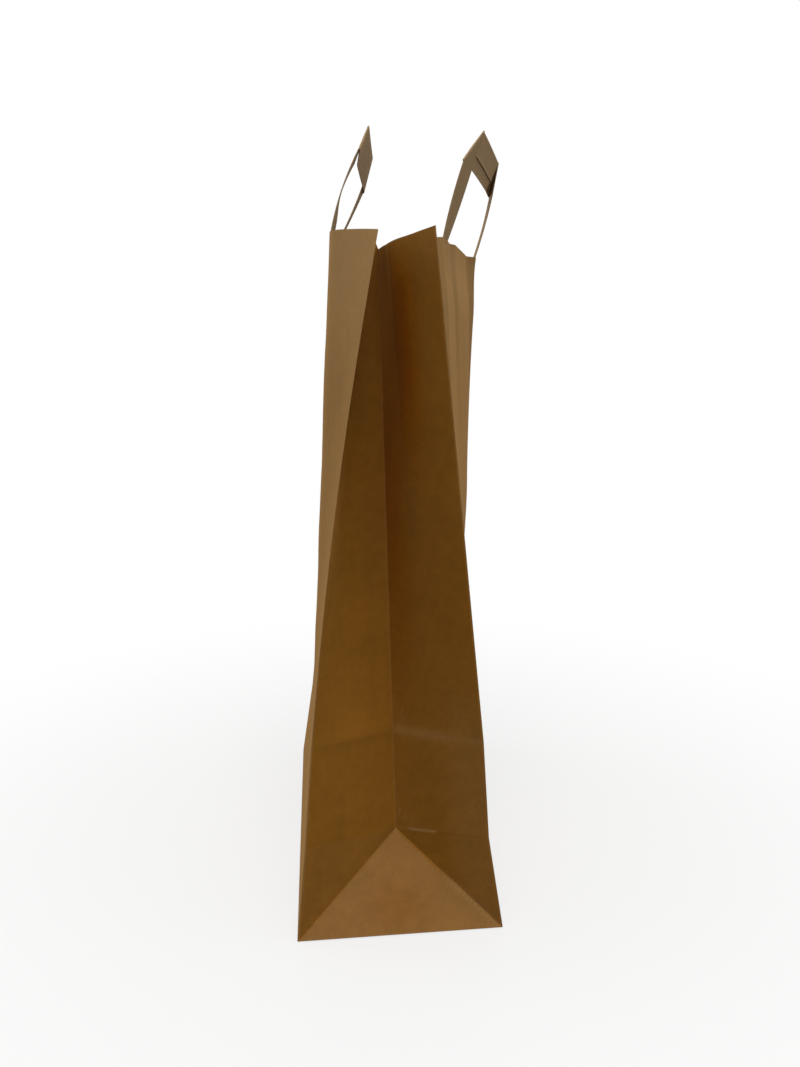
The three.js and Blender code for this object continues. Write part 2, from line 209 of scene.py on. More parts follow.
class Sheet:
    # points, faces and paper coordinates of one flat or folded sheet
    def __init__(self):
        self.points, self.faces = [], []
        self.maps, self.wear, self.slack, self.tuck = [], [], [], []

    def addGrid(self, points, maps, wear, slack, tuck=0.0, flipped=False, diagonals=None):
        rows, columns = points.shape[:2]
        first = len(self.points)
        self.points += points.reshape(-1, 3).tolist()
        self.maps += maps.reshape(-1, 2).tolist()
        for kept, values in ((self.wear, wear), (self.slack, slack), (self.tuck, tuck)):
            kept.extend(np.broadcast_to(values, (rows, columns)).ravel().tolist())
        for j in range(rows - 1):
            for i in range(columns - 1):
                a = first + j * columns + i
                b, c, d = a + 1, a + columns + 1, a + columns
                split = diagonals(j, i) if diagonals else None
                if split == "ac":
                    made = [(a, b, c), (a, c, d)]
                elif split == "bd":
                    made = [(a, b, d), (b, c, d)]
                else:
                    made = [(a, b, c, d)]
                self.faces += [face[::-1] for face in made] if flipped else made

    def toPiece(self, name, sizes, thickness, material, seedShift=0):
        mesh = bpy.data.meshes.new(name)
        mesh.from_pydata(self.points, [], self.faces)
        mapLayer = mesh.uv_layers.new(name="paper")
        corners = np.zeros(len(mesh.loops), dtype=np.int32)
        mesh.loops.foreach_get("vertex_index", corners)
        mapLayer.uv.foreach_set("vector", np.array(self.maps, dtype=np.float32)[corners].ravel())
        for label, values in (("wearAndPaintedLight", self.wear), ("slack", self.slack), ("tuck", self.tuck)):
            layer = mesh.attributes.new(label, "FLOAT", "POINT")
            layer.data.foreach_set("value", np.array(values, dtype=np.float32))
        piece = bpy.data.objects.new(name, mesh)
        scene.collection.objects.link(piece)
        modifier = piece.modifiers.new("paper", "NODES")
        modifier.node_group = paperTree
        settings = {
            "Thickness": thickness, "Wave Height": sizes["waveHeight"], "Wave Size": sizes["waveSize"],
            "Crumple Height": sizes["crumpleHeight"], "Crumple Size": sizes["crumpleSize"],
            "Sharp Angle": math.radians(sizes["sharpAngle"]), "Seed": sizes["seed"] + seedShift,
            "Paper": material,
        }
        for label, value in settings.items():
            modifier[paperSockets[label]] = value
        graph = bpy.context.evaluated_depsgraph_get()
        plain = bpy.data.meshes.new_from_object(
            piece.evaluated_get(graph), preserve_all_data_layers=True, depsgraph=graph)
        piece.modifiers.clear()
        piece.data = plain
        bpy.data.meshes.remove(mesh)
        plain.name = name
        print("made", name, "with", sum(len(face.vertices) - 2 for face in plain.polygons), "triangles")
        return piece


# small helpers for places on the paper
def stations(start, end, step, besideFold=(0.0005, 0.0013, 0.0026)):
    # places along the paper, closer together beside the two folds
    inner = end - start - 2 * besideFold[-1]
    count = max(2, round(inner / step) + 1)
    middle = np.linspace(start + besideFold[-1], end - besideFold[-1], count)
    close = np.array(besideFold[:-1])
    return np.concatenate([[start], start + close, middle, end - close[::-1], [end]])


def smoothRise(x, low, high):
    t = np.clip((x - low) / (high - low), 0, 1)
    return t * t * (3 - 2 * t)


def mixed(a, b, share):
    return a + (b - a) * share


def climb(step, *moves):
    # what is left of a step along the paper that also moves sideways, at least a quarter of it
    return np.sqrt(np.maximum(step ** 2 - sum(move ** 2 for move in moves), (step / 4) ** 2))


def summed(steps, axis):
    # running sum that starts at nothing
    return np.cumsum(np.insert(steps, 0, 0, axis=axis), axis=axis)


def line(distance, strength, breadth):
    return strength * np.exp(-(distance / breadth) ** 2)


def window(x, low, high, soft):
    return smoothRise(x, low - soft, low) * (1 - smoothRise(x, high, high + soft))


def unit(vectors):
    return vectors / np.linalg.norm(vectors, axis=-1, keepdims=True)


def planLength(move):
    return np.hypot(move[..., 0], move[..., 1])


def gridMaps(across, up):
    return np.stack(np.broadcast_arrays(across[None, :], up[:, None]), axis=-1)


# kraft paper, tape and patch finishes
kraftFinish = dict(
    light=(0.276, 0.156, 0.0545), dark=(0.210, 0.118, 0.0410), paleTone=(0.40, 0.262, 0.125),
    speck=(0.13, 0.068, 0.028), sheen=(0.245, 0.130, 0.038), fibre=1.0, cloudSize=26, bump=0.35,
    # painted shade: a deeper, warmer tone inside the side folds, by how far the paper is tucked in
    tucked=((0.0, (1, 1, 1)), (0.3, (1, 0.83, 0.58)), (0.5, (0.98, 0.743, 0.23)),
            (0.75, (0.845, 0.636, 0.235)), (0.9, (0.80, 0.46, 0.04)), (1.0, (0.62, 0.28, 0.02))),
)
tapeFinish = dict(
    light=(0.310, 0.210, 0.1145), dark=(0.252, 0.168, 0.0885), paleTone=(0.42, 0.335, 0.225),
    speck=(0.12, 0.075, 0.037), sheen=(0.281, 0.189, 0.102), fibre=1.3, cloudSize=14, bump=0.3,
)
patchFinish = dict(
    light=(0.288, 0.166, 0.060), dark=(0.228, 0.127, 0.045), paleTone=(0.40, 0.27, 0.135),
    speck=(0.14, 0.075, 0.032), sheen=(0.258, 0.147, 0.052), fibre=1.0, cloudSize=22, bump=0.35,
)
# grain that the three share, by millimetres of paper
paperGrain = dict(
    upStretch=(2.1, 0.22), sideStretch=(0.3, 1.7), blotchScale=0.16,
    fibreNoise=(3.0, 0.55), cloudNoise=(4.0, 0.6), blotchNoise=(3.0, 0.55),     # detail and roughness
    fibreTone=0.5, cloudTone=0.55, blotchTone=0.45, toneShift=-0.25, toneSpan=(0.25, 0.75),
    speckStretch=(0.5, 0.3), speckSpan=(0.05, 0.13), speckFew=0.62, speckShare=0.45,
    paleByFibre=0.9, paleLeast=0.35,
    fibreHeight=0.6, blotchHeight=0.5, bumpDistance=0.0004,
    roughness=(0.8, 0.95), specular=0.08, sheenWeight=0.7, sheenRoughness=0.45,
)


def paperMaterial(name, finish):
    grain = paperGrain
    material = bpy.data.materials.new(name)
    tree = emptyTree(material)
    place = addNode(tree, "ShaderNodeUVMap", uv_map="paper").outputs[0]
    millimetres = scaledVector(tree, place, 1000.0)

    def stretched(scales):
        inputs = {"Vector": millimetres, "Scale": (*scales, 1)}
        return addNode(tree, "ShaderNodeMapping", inputs).outputs[0]

    def noise(vector, scale, detail, roughness):
        inputs = {"Vector": vector, "Scale": scale, "Detail": detail, "Roughness": roughness}
        return addNode(tree, "ShaderNodeTexNoise", inputs, noise_dimensions="2D").outputs[0]

    def weighed(value, weight, rest):
        return mathNode(tree, "MULTIPLY_ADD", value, weight, rest)

    def layer(name):
        return addNode(tree, "ShaderNodeAttribute", attribute_name=name).outputs["Fac"]

    upFibres = noise(stretched(grain["upStretch"]), 1.0, *grain["fibreNoise"])
    sideFibres = noise(stretched(grain["sideStretch"]), 1.0, *grain["fibreNoise"])
    half = finish["fibre"] / 2
    fibres = weighed(mathNode(tree, "ADD", upFibres, sideFibres), half, 0.5 - half)
    cloud = noise(millimetres, 1.0 / finish["cloudSize"], *grain["cloudNoise"])
    blotch = noise(millimetres, grain["blotchScale"], *grain["blotchNoise"])
    tone = weighed(blotch, grain["blotchTone"], grain["toneShift"])
    tone = weighed(fibres, grain["fibreTone"], weighed(cloud, grain["cloudTone"], tone))
    paper = colourRamp(tree, tone, tuple(zip(grain["toneSpan"], (finish["dark"], finish["light"]))))
    # short dark fibres here and there
    cells = addNode(tree, "ShaderNodeTexVoronoi", {
        "Vector": stretched(grain["speckStretch"]), "Scale": 1.0, "Randomness": 1.0,
    }, voronoi_dimensions="2D").outputs
    near = rangeNode(tree, cells["Distance"], grain["speckSpan"], (1.0, 0.0))
    drawn = addNode(tree, "ShaderNodeSeparateColor", {0: cells["Color"]}).outputs[0]
    chosen = mathNode(tree, "GREATER_THAN", drawn, grain["speckFew"])
    speckShare = mathNode(tree, "MULTIPLY", mathNode(tree, "MULTIPLY", near, chosen), grain["speckShare"])
    paper = colourMix(tree, speckShare, paper, opaque(finish["speck"]))
    # painted shade inside the side folds, multiplied into the paper's colour
    if "tucked" in finish:
        paintedShadeTint = colourRamp(tree, layer("tuck"), finish["tucked"])
        paper = colourMix(tree, 1.0, paper, paintedShadeTint, blend_type="MULTIPLY")
    # folds rub paler; on the bag the same layer also holds painted light: a paler rim band, base triangle
    # and soft-fold band
    patchy = weighed(upFibres, grain["paleByFibre"], grain["paleLeast"])
    paled = mathNode(tree, "MULTIPLY", layer("wearAndPaintedLight"), patchy)
    paleShare = addNode(tree, "ShaderNodeClamp", {0: paled}).outputs[0]
    relief = mathNode(tree, "MULTIPLY", blotch, grain["blotchHeight"])
    relief = weighed(fibres, grain["fibreHeight"], relief)
    bump = addNode(tree, "ShaderNodeBump", {
        "Strength": finish["bump"], "Distance": grain["bumpDistance"], "Height": relief,
    })
    shader = addNode(tree, "ShaderNodeBsdfPrincipled", {
        "Base Color": colourMix(tree, paleShare, paper, opaque(finish["paleTone"])),
        "Roughness": rangeNode(tree, tone, grain["toneSpan"], grain["roughness"]),
        "Normal": bump.outputs[0], "Specular IOR Level": grain["specular"],
        "Sheen Weight": grain["sheenWeight"], "Sheen Roughness": grain["sheenRoughness"],
        "Sheen Tint": opaque(finish["sheen"]),
    })
    addNode(tree, "ShaderNodeOutputMaterial", {"Surface": shader.outputs[0]}, is_active_output=True)
    return material


kraftPaper = paperMaterial("kraftPaper", kraftFinish)
handleTape = paperMaterial("handleTape", tapeFinish)
patchPaper = paperMaterial("patchPaper", patchFinish)
print("paper finishes made")


# the bag: one sheet folded into a tube with side gussets and a block bottom
# q runs along a face from its near edge, v up the paper, s from a gusset's edge to its crease
front, back = -1, 1         # the two faces, by the sign of y
bag = dict(
    width=0.250, depth=0.120, height=0.400, thickness=0.00025, baseLift=0.00065,
    baseSpread=0.0008,      # how much the foot stands out past the fold lines
    pinchGap=0.029, pinchShift=0.007, pinchSetBack=0.006,
    creaseLean=0.0107, creaseSlack=0.0025, creaseLift=0.0022,
    # how far the edges stand in at the flap, the fold and, at the far end, the rim
    nearInsets={front: (0.0054, 0.0106), back: (0.0083, 0.0120)},
    farInsets={front: (0.0088, 0.0158, 0.0316), back: (0.0070, 0.0090, 0.0050)},
    nearBow={front: 0.0034, back: 0.0}, bowReach=0.045,
    rimLifts={front: (0.0004, 0.0022), back: (0.0007, 0.0003)},     # at the near edge and further on
    rimLiftReach=0.05,
    turnAngle=34, turnFlat=0.030, turnBend=0.026,       # the front face turns outward
    belly=0.0224, bellySkew=2.3, bellyRise=0.5,         # the back face bellies out
    swell=0.0030, swellSpans=((0.175, 0.245), (0.360, 0.396)),
    rippleFade=4.5, rippleRun=0.011,
    ripples=((0.0505, 0.0058), (0.0670, 0.0012), (0.0935, 0.0026), (0.1665, 0.0060)),   # place and rise
    nearKinks={front: 0.2, back: 0.8}, farKinks={front: 0.0, back: 0.0},
    kinkShare=0.60,         # where the tucked half bends near the rim, from its edge
    fluteHeight=0.0006, fluteSize=0.024,
    rimDip=0.0052, kinkDip=0.0038, dipRise=0.5, plainDipStart=0.94, kinkedDipStart=0.60,
    flapOverlap=0.012, flapInset=0.0008, flapLifts={front: 0.000125, back: 0.00039},
    flapRows=12, flapColumns=41, flapWear=(0.5, 0.002),
    baseMapShift=-0.2, flapMapShift=0.9,        # the base takes its grain from elsewhere
    columnStep=0.0036, gussetStep=0.0021, rowStep=0.0038,
    waveHeight=0.0011, waveSize=0.055, crumpleHeight=0.00016, crumpleSize=0.009,
    sharpAngle=22, seed=4.0,
)
halfDepth = bag["depth"] / 2
flapHeight = halfDepth
foldHeight = bag["depth"]
width, height = bag["width"], bag["height"]


def upperShare(v):
    return np.clip((v - foldHeight) / (height - foldHeight), 0, 1)


def edgeY(side, insets, rim, v):
    outs = (halfDepth + bag["baseSpread"], halfDepth - insets[0], halfDepth - insets[1])
    return np.interp(v, [0, flapHeight, foldHeight, height], [side * out for out in outs] + [rim])


def turnOut(q):
    bend = bag["turnBend"]
    flat = np.minimum(q, bag["turnFlat"])
    run = np.clip(q - bag["turnFlat"], 0, bend)
    easing = bend / (2 * math.pi) * np.sin(math.pi * run / bend)
    return math.sin(math.radians(bag["turnAngle"])) * (flat + run / 2 + easing)


def faceGrid(side, q, v):
    share = (q / width)[None, :]
    upper = upperShare(v)[:, None]
    nearRim = bag["pinchShift"] + side * bag["pinchGap"] / 2
    farRim = side * (halfDepth - bag["farInsets"][side][2])
    near = edgeY(side, bag["nearInsets"][side], nearRim, v)[:, None]
    far = edgeY(side, bag["farInsets"][side], farRim, v)[:, None]
    besideEdge = (1 - np.clip(q / bag["bowReach"], 0, 1))[None, :] ** 2
    y = mixed(near, far, share) + side * bag["nearBow"][side] * np.sin(math.pi * upper) * besideEdge
    if side == front:
        y = y - upper * (turnOut(q)[None, :] - turnOut(width) * share)
    else:
        rising, falling = bag["swellSpans"]
        swell = bag["swell"] * (smoothRise(v, *rising) - smoothRise(v, *falling))[:, None]
        y = y + swell * np.sin(math.pi * share) ** 2
        belly = bag["belly"] * np.sin(math.pi * share ** bag["bellySkew"])
        reach = bag["rippleRun"] / 2
        steps = sum(
            rise * (smoothRise(q, at - reach, at + reach) - q / width) for at, rise in bag["ripples"])
        y = y + (v[:, None] / height) ** bag["bellyRise"] * belly
        y = y + upper ** bag["rippleFade"] * steps[None, :]
    along = summed(climb(np.diff(q)[None, :], np.diff(y, axis=1)), 1)
    x = width / 2 - bag["pinchSetBack"] * upper - along
    rises = climb(np.diff(v)[:, None], np.diff(x, axis=0), np.diff(y, axis=0))
    z = bag["baseLift"] + summed(rises, 0)
    z = z + upper ** 2 * np.interp(q, [0, bag["rimLiftReach"]], bag["rimLifts"][side])
    return np.stack([x, y, z], axis=-1)


faceStations = stations(0, width, bag["columnStep"])
gussetStations = stations(0, halfDepth, bag["gussetStep"])
rowStations = np.concatenate([
    gussetStations,
    stations(flapHeight, foldHeight, bag["rowStep"])[1:],
    stations(foldHeight, height, bag["rowStep"])[1:],
])
apexRow = len(gussetStations) - 1
faces = {side: faceGrid(side, faceStations, rowStations) for side in (front, back)}


def nearCrease(edges):
    aboveFlap = np.clip((rowStations - flapHeight) / (height - flapHeight), 0, 1)
    y = (bag["pinchShift"] - bag["creaseLean"]) * aboveFlap
    chord = halfDepth - bag["creaseSlack"] * upperShare(rowStations) ** 2
    edge = edges[back]
    x = edge[:, 0] - np.sqrt(np.maximum(chord ** 2 - (edge[:, 1] - y) ** 2, 0))
    return np.stack([x, y, np.zeros_like(x)], axis=-1)


def farCrease(edges):
    across = edges[back] - edges[front]
    length = planLength(across)
    reach = np.sqrt(np.maximum(halfDepth ** 2 - length ** 2 / 4, 0)) / length
    crease = (edges[front] + edges[back]) / 2
    crease[:, 0] += across[:, 1] * reach
    crease[:, 1] -= across[:, 0] * reach
    return crease


def gussetHalf(edge, crease, apex, baseMiddle, kink):
    # from the edge to the crease, in every row
    share = gussetStations / halfDepth
    upper = upperShare(rowStations)[:, None]
    chord = crease - edge
    length = planLength(chord)
    spare = np.maximum(halfDepth - length, 0)
    across = np.stack([-chord[:, 1], chord[:, 0], np.zeros_like(length)], axis=-1) / length[:, None]
    across[across[:, 1] > 0] *= -1
    bow = 2 / math.pi * np.sqrt(length * spare)
    peak = bag["kinkShare"]
    tent = np.where(share < peak, share / peak, (1 - share) / (1 - peak))
    sine = np.sin(math.pi * share)
    profile = mixed(sine[None, :], tent[None, :], kink * upper ** 2)
    points = edge[:, None] + chord[:, None] * share[None, :, None]
    points = points + across[:, None] * (bow[:, None] * profile)[..., None]
    flute = bag["fluteHeight"] * np.sin(2 * math.pi * gussetStations / bag["fluteSize"]) * sine
    points += across[:, None] * (kink * upper * flute[None, :])[..., None]
    kinked = kink > 0.5     # more bent than round
    dipStart = bag["kinkedDipStart"] if kinked else bag["plainDipStart"]
    besideDip = smoothRise(share, 0, bag["dipRise"]) * (1 - smoothRise(share, dipStart, 1))
    points[..., 2] += bag["rimDip"] * (1 - kink) * upper ** 3 * besideDip
    points[..., 2] -= bag["kinkDip"] * kink * upper ** 3 * tent
    # below the apex the half is flat on both sides of the diagonal fold
    for j in range(apexRow):
        low = gussetStations[j] / halfDepth
        diagonal = mixed(edge[0], apex, low)
        for k in range(len(share)):
            if k <= j and j > 0:
                points[j, k] = mixed(edge[j], diagonal, share[k] / low)
            else:
                points[j, k] = mixed(edge[0], baseMiddle, share[k]) + (apex - baseMiddle) * low
    return points


def gussetGrid(column, creaseAt, kinks, firstSide):
    edges = {side: faces[side][:, column] for side in (front, back)}
    baseMiddle = (edges[front][0] + edges[back][0]) / 2
    crease = creaseAt(edges)
    apex = crease[apexRow]
    apex[2] = bag["baseLift"] + climb(halfDepth, planLength(apex - baseMiddle))
    for j in range(apexRow + 1, len(rowStations)):
        step = crease[j] - crease[j - 1]
        crease[j, 2] = crease[j - 1, 2] + climb(rowStations[j] - rowStations[j - 1], step[0], step[1])
    crease[:, 2] += bag["creaseLift"] * upperShare(rowStations) ** 2
    one, two = (
        gussetHalf(edges[side], crease, apex, baseMiddle, kinks[side]) for side in (firstSide, -firstSide))
    return np.concatenate([one, two[:, -2::-1]], axis=1)


# marks on the bag, rubbed wear and painted light and shade: a line is a strength and a breadth
# a span is where something starts and ends, and a third number is how softly it does
bagMarks = dict(
    calmReach=0.018,        # no waves this close to a fold or an edge
    faceSide=(0.3, 0.0010), faceFoot=(0.35, 0.0012), faceRim=(0.3, 0.0009),
    faceFlap=(0.22, 0.0012), faceFold=(0.25, 0.0022),
    # painted light: the faces lighter towards the rim
    facePaintedLight=0.42, facePaintedLightSpan=(0.30, 0.40),
    stiff=0.75, stiffSpan=(0.335, 0.352),       # fewer waves over the patches
    calm={front: 0.0, back: 0.85}, calmSpan=(0.12, 0.24),
    edge=(0.15, 0.0009), foot=(0.3, 0.0010), rim=(0.15, 0.0008), crease=(0.15, 0.0007),
    creaseTop=(0.40, 0.0008), creaseTopSpan=(0.362, 0.378),
    # painted light: the base triangle paler, except a plain spot near its bottom middle
    trianglePaintedLight=0.17, spotWidth=0.016, spotUp=0.014, spotHeight=0.015,     # with a plain spot on it
    upperSlack=0.8, lowerSlack=0.6,
    # on the back half of a gusset alone
    diagonal=(0.45, 0.0022), diagonalShift=0.001, diagonalSpan=(0.004, 0.025, 0.012),
    flute=(0.06, 0.0010), fluteAt=0.0195, fluteSpan=(0.27, 0.33),
    rimPale=0.10, rimPaleSpan=(0.365, 0.398), rimPaleReach=(0.004, 0.022),
    footPale=0.14, footPaleSpan=(0.11, 0.17), footPaleReach=(0.012, 0.034),
    # rubbed crease lines; the third is a painted highlight, a broad pale band along the soft fold
    creaseWearAndHighlight=(              # height at the crease, slope, line, and span from the crease
        (flapHeight, 0.0, (0.55, 0.0008), (0.010, 0.026, 0.002)),
        (flapHeight, 0.0, (0.15, 0.0008), (0.002, 0.026, 0.002)),
        (foldHeight + 0.0030, 0.06, (0.25, 0.0033), (0.004, 0.070, 0.008)),
        (0.0727, 1.0, (0.24, 0.0010), (0.0025, 0.0105, 0.0015)),
        (0.1440, 1.5, (0.12, 0.0012), (0.001, 0.0100, 0.002)),
    ),
    # painted shade: how far the paper counts as tucked in, which deepens and warms its tone
    tuck={front: 0.50, back: 0.75}, lowerPaintedShade=-0.07, trianglePaintedShade=0.3, edgeFade=0.001,
    deep={front: 0.625, back: 1.0}, deepPaintedShade=0.9, deepSpan=(0.10, 0.26),
    deepBreadths=(0.020, 0.0275), breadthSpan=(0.26, 0.34), deepLoss=0.4, deepLossSpan=(0.380, 0.400),
    shadeStreak={front: 0.0, back: 0.85}, streakAcross=(0.026, 0.032, 0.015),
    streakRise=(0.253, 0.338), streakFall=(0.372, 0.400),
    # painted shade: a dark line along the soft fold on the front half and along the flap crease on the
    # back half
    foldShadeLine={              # height, line, and span from the edge
        front: (foldHeight, (0.17, 0.0032), (0.012, 0.060, 0.012)),
        back: (flapHeight - 0.0006, (0.14, 0.0008), (0.001, 0.032, 0.004)),
    },
)


def clearOf(distance):
    return smoothRise(distance, 0, bagMarks["calmReach"])


def strongest(marks):
    return np.max(np.broadcast_arrays(*marks), axis=0)


def faceMarks(side, q):
    look = bagMarks
    across, v = np.minimum(q, width - q)[None, :], rowStations[:, None]
    wear = strongest([
        line(across, *look["faceSide"]), line(v, *look["faceFoot"]), line(v - height, *look["faceRim"]),
        line(v - flapHeight, *look["faceFlap"]), line(v - foldHeight, *look["faceFold"]),
        # painted light: lighter towards the rim
        look["facePaintedLight"] * smoothRise(v, *look["facePaintedLightSpan"]),
    ])
    slack = clearOf(across) * clearOf(v) * clearOf(height - v)
    slack = slack * (1 - look["stiff"] * smoothRise(v, *look["stiffSpan"]))
    return wear, slack * (1 - look["calm"][side] * smoothRise(v, *look["calmSpan"])), 0.0


# rubbed wear on a gusset, with painted light on the base triangle and along the soft fold
def gussetWearAndLight(side, s, v, crease, above, onTriangle):
    look = bagMarks
    fromSpot = (crease / look["spotWidth"]) ** 2 + ((v - look["spotUp"]) / look["spotHeight"]) ** 2
    marks = [
        line(s, *look["edge"]), line(v, *look["foot"]), line(v - height, *look["rim"]),
        line(crease, *look["crease"]) * above,
        line(crease, *look["creaseTop"]) * smoothRise(v, *look["creaseTopSpan"]),
        # painted light on the base triangle
        look["trianglePaintedLight"] * onTriangle * (1 - np.exp(-fromSpot)),
    ]
    if side == back:
        fromDiagonal = (s - v) / math.sqrt(2) - look["diagonalShift"]
        atRim = smoothRise(v, *look["rimPaleSpan"]) * (1 - smoothRise(s, *look["rimPaleReach"]))
        atFoot = (1 - smoothRise(v, *look["footPaleSpan"])) * (1 - smoothRise(s, *look["footPaleReach"]))
        marks += [
            line(fromDiagonal, *look["diagonal"]) * (s >= v) * window(v, *look["diagonalSpan"]),
            line(crease - look["fluteAt"], *look["flute"]) * smoothRise(v, *look["fluteSpan"]),
            look["rimPale"] * atRim, look["footPale"] * atFoot,
        ]
        # rubbed crease lines, and a painted highlight along the soft fold
        for at, slope, paled, span in look["creaseWearAndHighlight"]:
            marks.append(line(v - at + slope * crease, *paled) * window(crease, *span))
    return strongest(marks)


# painted shade inside a gusset: deeper near the crease, a dark streak on the back half, dark lines at
# folds
def gussetPaintedShade(side, s, v, crease, above, onTriangle):
    look = bagMarks
    tuck = look["tuck"][side] + look["lowerPaintedShade"] * (1 - above)
    breadth = mixed(*look["deepBreadths"], smoothRise(v, *look["breadthSpan"]))
    deep = look["deep"][side] * np.exp(-(crease / breadth) ** 4) * smoothRise(v, *look["deepSpan"])
    deep = deep * (1 - look["deepLoss"] * smoothRise(v, *look["deepLossSpan"]))
    tuck = mixed(tuck, look["deepPaintedShade"], deep) * smoothRise(s, 0, look["edgeFade"])
    tuck = np.where(onTriangle, look["trianglePaintedShade"], tuck)
    shadeStreak = look["shadeStreak"][side] * window(crease, *look["streakAcross"])
    shadeStreak = shadeStreak * smoothRise(v, *look["streakRise"]) * (1 - smoothRise(v, *look["streakFall"]))
    at, dark, span = look["foldShadeLine"][side]
    return mixed(tuck, 1.0, shadeStreak) + line(v - at, *dark) * window(s, *span) * (s < v)


def gussetMarks(side):
    s, v = gussetStations[None, :], rowStations[:, None]
    crease = halfDepth - s
    above = (v >= flapHeight - sheetBuild["weld"]).astype(float)
    onTriangle = (s > v) & (v < flapHeight)
    upper = clearOf(s) * clearOf(crease) * clearOf(np.abs(v - flapHeight)) * clearOf(height - v)
    lower = clearOf(np.abs(s - v) / math.sqrt(2)) * clearOf(np.where(onTriangle, v, s))
    slack = upper * above * bagMarks["upperSlack"]
    slack = slack + (1 - above) * bagMarks["lowerSlack"] * lower * clearOf(flapHeight - v)
    places = (side, s, v, crease, above, onTriangle)
    return gussetWearAndLight(*places), slack, gussetPaintedShade(*places)


def makeBag():
    sheet = Sheet()
    near = gussetGrid(0, nearCrease, bag["nearKinks"], front)
    far = gussetGrid(len(faceStations) - 1, farCrease, bag["farKinks"], back)
    steps = len(gussetStations) - 1

    def alongFold(j, i):
        if j < apexRow and i < steps and i == j:
            return "ac"
        if j < apexRow and i >= steps and 2 * steps - 1 - i == j:
            return "bd"
        return None

    def addPanel(points, along, marks, diagonals=None):
        sheet.addGrid(points, gridMaps(along, rowStations), *marks, diagonals=diagonals)

    def bothHalves(firstSide):
        one, two = gussetMarks(firstSide), gussetMarks(-firstSide)
        return [np.concatenate([a, b[:, -2::-1]], axis=1) for a, b in zip(one, two)]

    # round the tube: near gusset, back face, far gusset, front face
    depth = bag["depth"]
    folded = np.concatenate([gussetStations, depth - gussetStations[-2::-1]])
    backward = faceStations[::-1]
    addPanel(near, folded, bothHalves(front), alongFold)
    addPanel(faces[back], depth + faceStations, faceMarks(back, faceStations))
    addPanel(far, depth + width + folded, bothHalves(back), alongFold)
    addPanel(faces[front][:, ::-1], 2 * depth + 2 * width - backward, faceMarks(front, backward))
    # base sheet, seen from below
    across = (folded - halfDepth) * (1 + bag["baseSpread"] / halfDepth)
    x, y = np.meshgrid(width / 2 - faceStations, across, indexing="ij")
    base = np.stack([x, y, np.full_like(x, bag["baseLift"])], axis=-1)
    sheet.addGrid(base, np.stack([x, y + bag["baseMapShift"]], axis=-1), 0.0, 0.0)
    for side in (front, back):
        addBaseFlap(sheet, side)
    return sheet.toPiece("bagBody", bag, bag["thickness"], kraftPaper)


def addBaseFlap(sheet, side):
    # folded flap under the base, with ends cut at 45 degrees
    inset = bag["flapInset"]
    out = np.linspace(0, halfDepth + bag["flapOverlap"], bag["flapRows"])
    turn = 1 - 2 * np.linspace(0, 1, bag["flapColumns"])[None, :]
    ends = (width / 2 - inset - out)[:, None]
    x = ends * turn
    y = np.broadcast_to(side * (halfDepth - inset - out)[:, None], x.shape)
    points = np.stack([x, y, np.full_like(x, bag["flapLifts"][side])], axis=-1)
    maps = np.stack([x, y + bag["flapMapShift"]], axis=-1)
    border = np.minimum(out[:, None], ends * (1 - np.abs(turn)))
    sheet.addGrid(points, maps, line(border, *bag["flapWear"]), 0.0, flipped=side == back)


bagBody = makeBag()


# handles: one paper tape each, turned on the bias at its two upper corners
# h runs up from the rim, and w across the tape from its outer edge
handle = dict(
    tapeWidth=0.022, span=0.138, legDepth=0.042,
    rise={front: 0.0632, back: 0.0644}, farRise={front: 0.0095, back: 0.0019},
    nearRise={front: 0.0052, back: 0.0}, farNarrow={front: 0.06, back: 0.13},
    legOffset=0.000825,     # tape middle from the paper's middle, below the rim
    ply=0.0005, layerGap=0.00062,
    # degrees at the four edges of the legs, at the rim and towards the bar
    legLeans={front: ((15, 26), (13, 30), (35, 21), (33, 24)),
              back: ((12, 19.5), (21.5, 17.7), (1, 18), (8, 23))},
    barLeans={front: (19, 18), back: (18.5, 26)},
    nearOpening={front: 5, back: 0},            # degrees that a leg stands off the bar
    farOpening={front: 3, back: 17},
    nearLift={front: 0.0020, back: 0.0},        # how far the near leg's inner edge turns in over the rim
    liftSpans=((-0.002, 0.006), (0.008, 0.026)),
    legRows=16, openRows=24, barRows=56, foldRows=7, acrossColumns=12, edgeSteps=(0.0004, 0.0012),
    edgeWear=(0.15, 0.0009), calmReach=0.004,
    # outer ply of the bar, open along its lower edge
    seamShare=0.34, seamLift=0.00035, seamReach=0.0015, seamWear=(0.25, 0.0006),
    plyRows=40, plyColumns=8, plySteps=(0.0005, 0.0015), plyTopGap=0.0003, plyTuck=0.0002,
    plyClearance=0.00003, plyMapShift=0.3,
    waveHeight=0.0002, waveSize=0.03, crumpleHeight=0.00006, crumpleSize=0.006,
    sharpAngle=40, seed=9.0,
)
tapeWidth = handle["tapeWidth"]
legStart = (width - handle["span"]) / 2
legEnd = width - legStart
legEdges = np.array([legStart, legStart + tapeWidth, legEnd - tapeWidth, legEnd])


def onFace(side, q, v):
    # point on a face between its grid points
    grid = faces[side]
    i = np.clip(np.searchsorted(faceStations, q) - 1, 0, len(faceStations) - 2)
    j = np.clip(np.searchsorted(rowStations, v) - 1, 0, len(rowStations) - 2)
    a = ((q - faceStations[i]) / (faceStations[i + 1] - faceStations[i]))[..., None]
    b = ((v - rowStations[j]) / (rowStations[j + 1] - rowStations[j]))[..., None]
    low = mixed(grid[j, i], grid[j, i + 1], a)
    high = mixed(grid[j + 1, i], grid[j + 1, i + 1], a)
    return mixed(low, high, b)


def insideFace(side, q, v, depth):
    q, v = np.broadcast_arrays(np.asarray(q, float), np.asarray(v, float))
    reach = 0.002           # over which the slope is taken
    along = onFace(side, q + reach, v) - onFace(side, q - reach, v)
    up = onFace(side, q, v) - onFace(side, q, v - reach)
    return onFace(side, q, v) - side * unit(np.cross(along, up)) * np.asarray(depth)[..., None]


